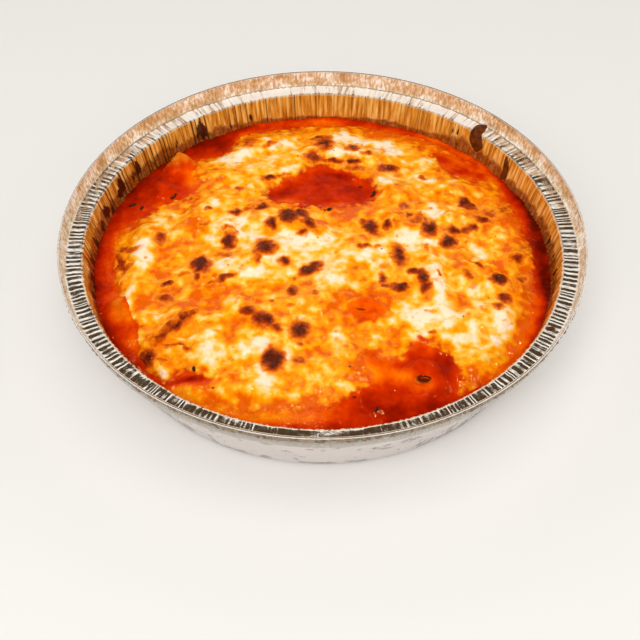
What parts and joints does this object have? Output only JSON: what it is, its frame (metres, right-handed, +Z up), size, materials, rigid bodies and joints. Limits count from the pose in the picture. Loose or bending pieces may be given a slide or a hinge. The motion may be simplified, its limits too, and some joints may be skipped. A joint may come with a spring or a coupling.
{
  "type": "baked pasta in a foil pan",
  "caption": "Round foil take-out pan of baked tube pasta in tomato sauce under a browned sheet of melted cheese.",
  "frame": {"origin": "centre of the pan's foot, on the surface it stands on", "axes": "+Z up; the side nearest the camera in the picture is -Y, its right-hand side is +X"},
  "size_m": [0.216, 0.216, 0.04],
  "materials": {
    "foil": "bright thin foil, finely pleated, oil-tinted inside",
    "sauce": "glossy oily tomato sauce",
    "cheese": "melted cheese, cream with orange oil and dark brown blisters",
    "pasta": "cooked pasta stained by the sauce"
  },
  "bodies": {
    "root": {"foil_pan": "foil", "pasta_and_sauce": "sauce", "melted_cheese": "cheese", "pasta_tube_front": "pasta", "pasta_tube_middle": "pasta", "pasta_tube_back_left": "pasta", "pasta_tube_right": "pasta", "pasta_tube_left": "pasta", "pasta_tube_front_left": "pasta"}
  },
  "joints": []
}
